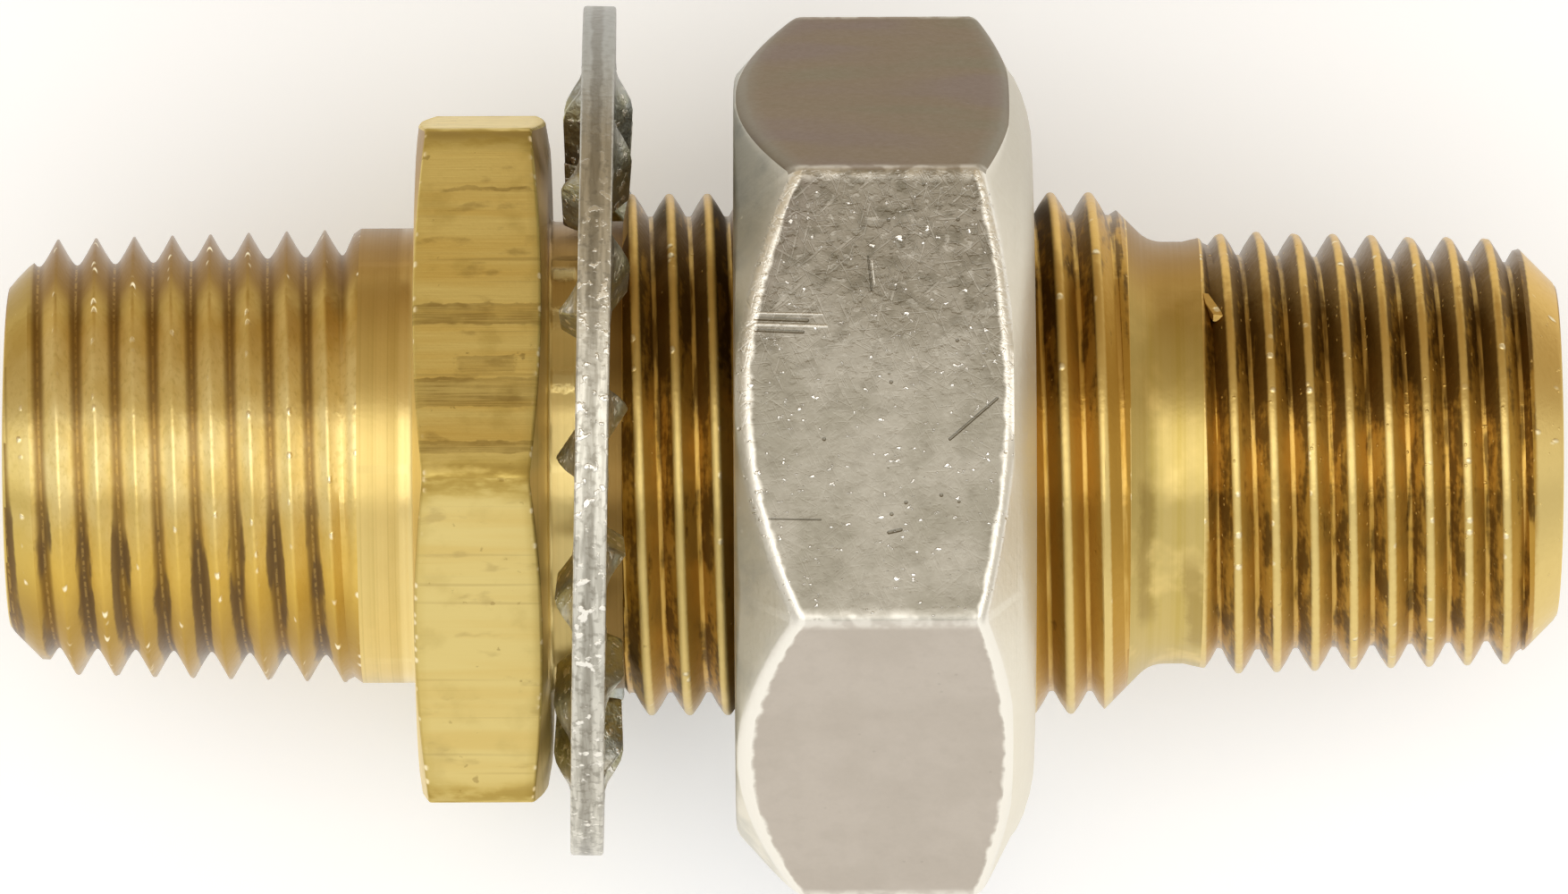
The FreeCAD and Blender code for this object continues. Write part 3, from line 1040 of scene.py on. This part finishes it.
def zinc_side(name):
    """Zinc plating on the nut's flat sides: scuffed and pitted, worn at the edges and painted bright there as
    a highlight, with painted glints and painted shade on the upper sides.
    """
    nodes = Metal(name)
    off, across, side, flat = nodes.hex_sides(0.0, NUT_APOTHEM)
    upper_side = side.near(-1.0)
    front_side = side.near(0.0)
    scored = 0.25 + 0.75 * front_side
    patches = nodes.noise(0.22, flat)
    mottle = nodes.noise(1.0, flat, detail=6.0, shift=7.0)
    grain = nodes.noise(3.5, detail=5.0)
    tints = nodes.noise(1.0, flat, detail=2.0, stretch=(0.07, 0.20, 1.0), shift=3.0)
    upper_half = (across + 6.0 * patches - 3.0).rise(2.5, -8.0) * front_side
    corner = upper_half * (nodes.x + 0.45 * across).rise(10.0, 5.0)

    tone = nodes.mix(ZINC_GREY, ZINC_PALE, patches.rise(0.40, 0.60))
    # Painted shade: the front side's upper half is darker, most of all in its upper corner towards the back.
    tone = nodes.mix(tone, ZINC_SMOKE, 0.65 * upper_half)
    tone = nodes.mix(tone, ZINC_PLUM, 0.7 * corner)
    blotches = mottle.rise(0.48, 0.66) * (0.18 + 0.6 * upper_half)
    tone = nodes.mix(tone, ZINC_DARK, blotches)
    # Tints of the plating, laid on dark over the upper side as painted shade, and half as strong on the three
    # far sides.
    tint_and_shade = nodes.mix(ZINC_OLIVE, ZINC_BROWN, tints.rise(0.36, 0.50))
    tint_and_shade = nodes.mix(tint_and_shade, ZINC_ROSE, tints.rise(0.50, 0.64))
    behind = abs(side).rise(1.2, 1.8)
    tone = nodes.mix(tone, tint_and_shade, 0.95 * upper_side + 0.5 * behind)

    lower_side = side.near(1.0)
    tone = nodes.mix(tone, ZINC_TAUPE, 0.6 * lower_side)
    zone = front_side * (0.2 + 0.8 * upper_half)
    hammer = nodes.noise(2.0, flat, detail=4.0, stretch=(1.0, 1.4, 1.0), shift=17.0)
    dips = hammer.rise(0.54, 0.68) * zone
    rises = hammer.rise(0.42, 0.32) * zone
    tone = nodes.mix(tone, ZINC_DARK, 0.28 * dips)
    tone = nodes.mix(tone, ZINC_WORN_AND_HIGHLIGHT, 0.18 * rises)
    fine = scratches(nodes, flat, (0.1, 0.7, -0.5, 1.3, -1.1, 2.0)) * scored
    fine *= 0.2 + 0.8 * upper_half
    tone = nodes.mix(tone, ZINC_WORN_AND_HIGHLIGHT, 0.14 * fine)
    pits = nodes.spots(flat, 1.3, 0.14, 0.30) * scored
    tone = nodes.mix(tone, ZINC_DARK, 0.6 * pits)
    # Painted glints on the front side.
    sparks = nodes.noise(2.6, flat, stretch=(1.0, 1.3, 1.0), shift=4.0)
    sparks = sparks.rise(0.655, 0.72) * front_side
    tone = nodes.mix(tone, ZINC_SPARK, sparks)
    marks = strokes(nodes, flat, NUT_MARKS) * front_side
    gleams = strokes(nodes, flat, NUT_GLEAMS) * front_side
    # Scratches painted dark as their shade, with painted highlights beside them.
    tone = nodes.mix(tone, ZINC_DARK, 0.65 * marks)
    tone = nodes.mix(tone, ZINC_WORN_AND_HIGHLIGHT, 0.6 * gleams)

    # Worn edges, painted bright as highlights, and a pale line along the corners between sides.
    ragged = nodes.noise(1.1, detail=2.0)
    wear = nodes.attribute("wear")
    worn = (wear + 0.5 * ragged - 0.25).rise(0.34, 0.58)
    # Painted shade: on the upper side the edges are grey, not bright.
    worn *= 1.0 - upper_side
    tone = nodes.mix(tone, ZINC_GREY, 0.6 * wear * upper_side)
    ridge = abs(off).rise(SECTOR / 2 - 0.030, SECTOR / 2 - 0.008)
    ridge *= 0.25 + 0.4 * ragged.rise(0.40, 0.60)
    tone = nodes.mix(tone, ZINC_WORN_AND_HIGHLIGHT, nodes.most(worn, ridge))
    roughness = 0.32 + 0.16 * grain + 0.08 * patches - 0.08 * worn - 0.14 * sparks + 0.10 * upper_side
    bumps = mottle * (0.3 + 0.7 * upper_half)
    height = (
        0.010 * grain + 0.06 * bumps - 0.012 * fine - 0.03 * pits + 0.03 * sparks - 0.04 * marks
        + 0.02 * gleams - 0.02 * dips + 0.01 * rises
    )
    return nodes.finish(tone, roughness, height)


def zinc_slant(name):
    """Zinc plating on the nut's cones and faces: mottled blue-grey at the back, cream at the front, with
    painted shade towards the top, painted glints, and worn edges painted bright as highlights.
    """
    nodes = Metal(name)
    patches = nodes.noise(0.35, detail=4.0)
    grain = nodes.noise(3.0, detail=5.0)
    round_lines = nodes.noise(6.0, nodes.combine(nodes.reach, 0.0, 0.0))
    front = nodes.x.rise(NUT_BACK + 3.0, NUT_FRONT - 4.0)
    upper = nodes.high.rise(0.15, 0.68)
    # Painted shade: duller, bluer and greyer towards the top.
    dull = 0.42 * upper + 0.28 * patches.rise(0.42, 0.66)
    mottled = nodes.mix(ZINC_CREAM, ZINC_BLUE, dull)
    cream = nodes.mix(ZINC_CREAM, ZINC_PALE, 0.5 * upper)
    tone = nodes.mix(mottled, cream, front)
    # Painted glints at the back, and worn edges painted bright as highlights.
    sparks = nodes.spots(nodes.place, 1.3, 0.16, 0.35) * (1.0 - front)
    worn = nodes.attribute("wear").rise(0.40, 0.75)
    tone = nodes.mix(tone, ZINC_WORN_AND_HIGHLIGHT, nodes.most(worn, sparks))
    roughness = 0.36 + 0.14 * grain + 0.06 * patches
    height = 0.014 * grain + 0.006 * round_lines
    return nodes.finish(tone, roughness, height)


def zinc_bore(name):
    """Zinc plating in the nut's thread, thin and dull."""
    nodes = Metal(name)
    grain = nodes.noise(2.5, detail=4.0)
    tone = nodes.mix(ZINC_GREY, ZINC_DARK, grain.rise(0.4, 0.65))
    return nodes.finish(tone, 0.36 + 0.2 * grain, 0.03 * grain)


def zinc_washer(name):
    """Zinc plating on the stamped washer: scuffed rim painted paler towards the bottom as light, dark olive
    and blue-grey teeth, and painted glints.
    """
    nodes = Metal(name)
    patches = nodes.noise(0.5, detail=4.0)
    grain = nodes.noise(3.0, detail=5.0)
    scuffs = nodes.noise(1.0, stretch=(5.0, 0.5, 0.5))
    teeth = nodes.attribute("wear").rise(0.05, 0.4)
    facing = nodes.high.rise(0.96, 0.20)
    through = nodes.x + math.sin(WASHER_LEAN) * nodes.y - math.sin(WASHER_TILT) * nodes.z - WASHER_STATION
    cut = (through + 0.5 * nodes.noise(0.8) - 0.25).between(-0.25, 0.05, 0.2)
    # Painted glints on the lower rim and on the teeth.
    sparks = nodes.noise(1.9, shift=11.0).rise(0.58, 0.66)
    sparks *= nodes.most(nodes.high.rise(0.68, 0.15), teeth)
    # Painted light: the rim is paler and creamier towards the bottom.
    rim = nodes.mix(WASHER_GREY, ZINC_CREAM, 0.6 * facing)
    rough_share = 0.12 + 0.7 * facing
    scuffed = scuffs.rise(0.42, 0.62) * rough_share
    rim = nodes.mix(rim, ZINC_GREY, 0.6 * scuffed)
    pitted = grain.rise(0.52, 0.66) * rough_share
    rim = nodes.mix(rim, ZINC_DARK, 0.5 * pitted)
    rim = nodes.mix(rim, ZINC_DARK, 0.5 * cut)
    dark = nodes.mix(WASHER_OLIVE, WASHER_BLUE, patches.rise(0.42, 0.6))
    tone = nodes.mix(rim, dark, 0.8 * teeth)
    tone = nodes.mix(tone, ZINC_WORN_AND_HIGHLIGHT, sparks)
    roughness = 0.24 + 0.24 * grain + 0.06 * patches
    lumps = nodes.noise(1.1, shift=3.0) * teeth
    height = 0.02 * grain - 0.02 * scuffs + 0.03 * sparks + 0.20 * lumps
    return nodes.finish(tone, roughness, height)


# Stain streaks on the relief: from and to station, from and to angle, strength and shade.
RELIEF_STAINS = (
    (28.0, 28.2, 0.35, 0.95, 0.55, BRASS_UMBER),
    (30.2, 30.6, 0.75, 1.2, 0.55, BRASS_UMBER),
)

# Polished stretches of the necks, painted paler as highlights: from and to station, and the width that each
# fades over.
NECK_POLISH_AND_HIGHLIGHT = ((-6.8, -6.55, 0.4), (0.4, 1.6, 0.9))

# Painted shade on the neck under the washer: from and to station, from and to angle, strength and shade.
NECK_PAINTED_SHADE = ((2.7, 4.2, -1.7, 1.7, 0.85, BRASS_BROWN),)

# Painted gleams on the neck between the collar and the washer: from and to station, from and to angle.
NECK_GLEAMS = ((0.3, 1.2, -0.73, -0.71), (0.3, 1.2, -0.48, -0.45), (0.3, 1.2, -0.19, -0.16))

brass_finishes = [
    clean_thread("brass_back_thread"),
    turned_brass("brass_neck", BRASS_BRIGHT, 0.3, NECK_POLISH_AND_HIGHLIGHT, NECK_PAINTED_SHADE, NECK_GLEAMS),
    bar_brass("brass_bar"),
    dark_thread("brass_bulkhead_thread", 0.08, 0.06, 0.20, 0.05),
    turned_brass("brass_relief", BRASS_DULL, 0.85, (), RELIEF_STAINS, ()),
    dark_thread("brass_front_thread", 0.045, 0.0, 0.06, 0.35),
]
nut_finishes = [zinc_side("zinc_side"), zinc_slant("zinc_slant"), zinc_bore("zinc_bore")]

body = build_body(brass_finishes)
nut = build_nut(nut_finishes)
washer = build_washer([zinc_washer("zinc_washer")])

for piece, node, rider, slot in (
    (body, "fitting_body", "fitting", "brass"),
    (nut, "jam_nut", "nut", "nut_steel"),
    (washer, "lock_washer", "washer", "washer_steel"),
):
    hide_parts(node)
    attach(piece, rider)

# Floor: a wide square under the part.
FLOOR_SIZE = 6.0

# What the light leaves short of white is added where the floor is seen or mirrored.
FLOOR_LIFT = 0.26

floor_mesh = bpy.data.meshes.new("floor")
half = FLOOR_SIZE / 2
floor_mesh.from_pydata(
    [(-half, -half, 0), (half, -half, 0), (half, half, 0), (-half, half, 0)], [], [(0, 1, 2, 3)],
)
floor = add_object("floor", floor_mesh)
floor.location.z = min(corner[2] for corner in cad_box)
floor_material = bpy.data.materials.new("floor")
floor_material.use_nodes = True
floor_nodes = Nodes(floor_material.node_tree)
path = floor_nodes.add("ShaderNodeLightPath").outputs
seen = floor_nodes.most(path["Is Camera Ray"], path["Is Glossy Ray"], path["Is Transmission Ray"])
for socket_name, value in (
    ("Base Color", (0.84, 0.86, 0.89)),
    ("Roughness", 0.9),
    ("Specular IOR Level", 0.0),
    ("Emission Color", (1.0, 1.0, 1.0)),
    ("Emission Strength", FLOOR_LIFT * seen),
):
    floor_nodes.join(value, floor_material.node_tree.nodes["Principled BSDF"].inputs[socket_name])
floor_mesh.materials.append(floor_material)

# Camera: nearly overhead, with a long lens, rolled a little as the photograph is.
CAMERA_ELEVATION = math.radians(81.4)
CAMERA_DISTANCE = 0.660
CAMERA_LENS = 318.0
CAMERA_AIM = 11.11
CAMERA_RISE = 0.34
CAMERA_ROLL = math.radians(0.22)

camera_data = bpy.data.cameras.new("camera")
camera_data.lens = CAMERA_LENS
camera_data.sensor_width = 36.0
camera_data.clip_start = 0.01
camera_data.clip_end = 20.0
camera = add_object("camera", camera_data)
outward = Vector((0.0, -math.cos(CAMERA_ELEVATION), math.sin(CAMERA_ELEVATION)))
upward = Vector((0.0, math.sin(CAMERA_ELEVATION), math.cos(CAMERA_ELEVATION)))
aim = Vector((CAMERA_AIM * MM, 0.0, 0.0)) + upward * (CAMERA_RISE * MM)
camera.matrix_world = (
    Matrix.Translation(aim + outward * CAMERA_DISTANCE)
    @ Matrix.Rotation(math.pi / 2 - CAMERA_ELEVATION, 4, "X")
    @ Matrix.Rotation(-CAMERA_ROLL, 4, "Z")
)
bpy.context.scene.camera = camera

# Light: a wide soft box overhead and a weaker one low in front, in metres and watts.
LIGHT_TARGET = Vector((0.011, 0.0, 0.0))


def soft_box(name, offset, size, power):
    """A rectangular lamp at an offset from the target, facing it."""
    data = bpy.data.lights.new(name, "AREA")
    data.shape = "RECTANGLE"
    data.size, data.size_y = size
    data.energy = power
    offset = Vector(offset)
    turn = (-offset).to_track_quat("-Z", "Y").to_matrix().to_4x4()
    add_object(name, data).matrix_world = Matrix.Translation(LIGHT_TARGET + offset) @ turn


soft_box("overhead", (0.0, -0.12, 0.80), (1.2, 0.66), 3.4)
soft_box("low_front", (0.0, -0.72, 0.34), (1.4, 0.76), 1.22)

# The surroundings are bright towards the camera's foot, and dim and warm beyond the object.
WORLD_STOPS = (
    (0.0, (0.80, 0.79, 0.77)),
    (0.45, (0.66, 0.63, 0.58)),
    (0.7, (0.62, 0.52, 0.38)),
    (1.0, (0.46, 0.35, 0.21)),
)
world = bpy.data.worlds.new("studio")
bpy.context.scene.world = world
world.use_nodes = True
sky = Nodes(world.node_tree)
northward = sky.split(sky.add("ShaderNodeTexCoord").outputs["Generated"])[1]
shades = sky.add("ShaderNodeValToRGB", 0.5 * northward + 0.5)
while len(shades.color_ramp.elements) < len(WORLD_STOPS):
    shades.color_ramp.elements.new(1.0)
for element, (position, shade) in zip(shades.color_ramp.elements, WORLD_STOPS):
    element.position = position
    element.color = (*shade, 1.0)
sky.join(shades.outputs["Color"], world.node_tree.nodes["Background"].inputs["Color"])

bpy.context.scene.view_settings.view_transform = "Standard"
